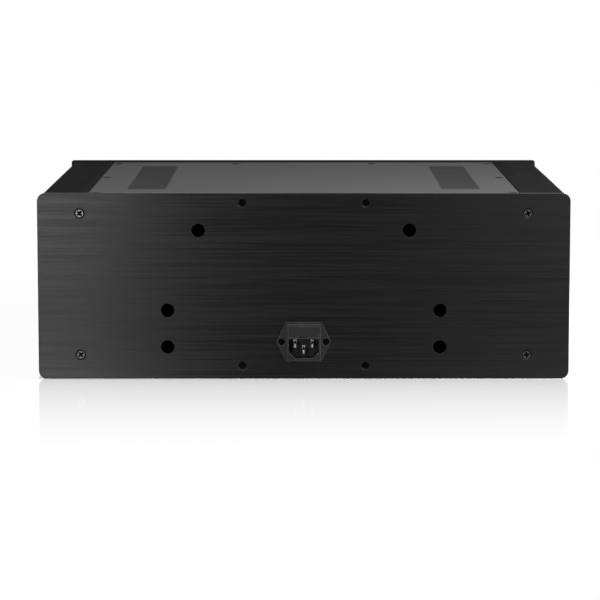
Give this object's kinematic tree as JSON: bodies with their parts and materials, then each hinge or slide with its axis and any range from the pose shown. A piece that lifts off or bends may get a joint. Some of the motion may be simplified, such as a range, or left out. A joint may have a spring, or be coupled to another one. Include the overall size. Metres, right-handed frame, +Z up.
{
  "type": "amplifier chassis",
  "caption": "Empty aluminium enclosure for a power amplifier, with finned heatsinks as its sides, perforated covers, connector holes and a fused mains inlet.",
  "frame": {"origin": "bottom centre of the bounding box, on the surface that the chassis stands on", "axes": "+Z up, -Y towards the front panel, +Y towards the rear panel, X along the width"},
  "size_m": [0.43, 0.3568, 0.151],
  "materials": {
    "black_panel": "black anodised, brushed along its width",
    "black_cover": "black anodised, fine satin",
    "black_fins": "black anodised extrusion",
    "bare_aluminium": "sawn and milled",
    "zinc_steel": "zinc plated",
    "black_steel": "black oxide",
    "black_moulding": "moulded, fine satin",
    "pin_metal": "nickel plated brass",
    "contact_brass": "pressed spring brass",
    "fuse_glass": "clear",
    "button_metal": "black anodised, turned"
  },
  "bodies": {
    "chassis": {"front_panel": "black_panel", "rear_panel": "black_panel", "top_cover": "black_cover", "bottom_cover": "black_cover", "left_heatsink": "black_fins", "right_heatsink": "black_fins", "left_top_bar": "bare_aluminium", "right_top_bar": "bare_aluminium", "left_bottom_bar": "bare_aluminium", "right_bottom_bar": "bare_aluminium", "bar_screws": "zinc_steel", "rear_top_blocks": "bare_aluminium", "rear_bottom_blocks": "bare_aluminium", "front_top_brackets": "bare_aluminium", "front_bottom_brackets": "bare_aluminium", "front_bracket_screws": "zinc_steel", "corner_brackets": "bare_aluminium", "corner_bracket_screws": "zinc_steel", "rear_corner_screws": "zinc_steel", "rear_block_screws": "black_steel", "top_cover_screws": "black_steel", "bottom_cover_screws": "black_steel", "inlet_housing": "black_moulding", "line_pin": "pin_metal", "neutral_pin": "pin_metal", "earth_pin": "pin_metal", "fuse_contacts": "contact_brass", "inlet_screws": "black_steel", "inlet_nuts": "zinc_steel", "button_bezel": "button_metal", "button_spring": "zinc_steel", "switch_body": "black_moulding", "switch_terminals": "pin_metal", "button_nut": "zinc_steel"},
    "fuse_drawer": {"fuse_drawer": "black_moulding", "fuse_glass": "fuse_glass", "fuse_caps": "pin_metal", "spare_fuse_glass": "fuse_glass", "spare_fuse_caps": "pin_metal"},
    "power_button": {"power_button": "button_metal"}
  },
  "joints": [
    {"name": "fuse_drawer_slide", "type": "slide", "parent": "chassis", "child": "fuse_drawer", "axis": [0, 1, 0], "range_m": [0, 0.018]},
    {"name": "power_button_press", "type": "slide", "parent": "chassis", "child": "power_button", "axis": [0, 1, 0], "range_m": [0, 0.0022], "stiffness_N_per_m": 400, "springref_m": -0.001, "deforming": ["button_spring"]}
  ]
}
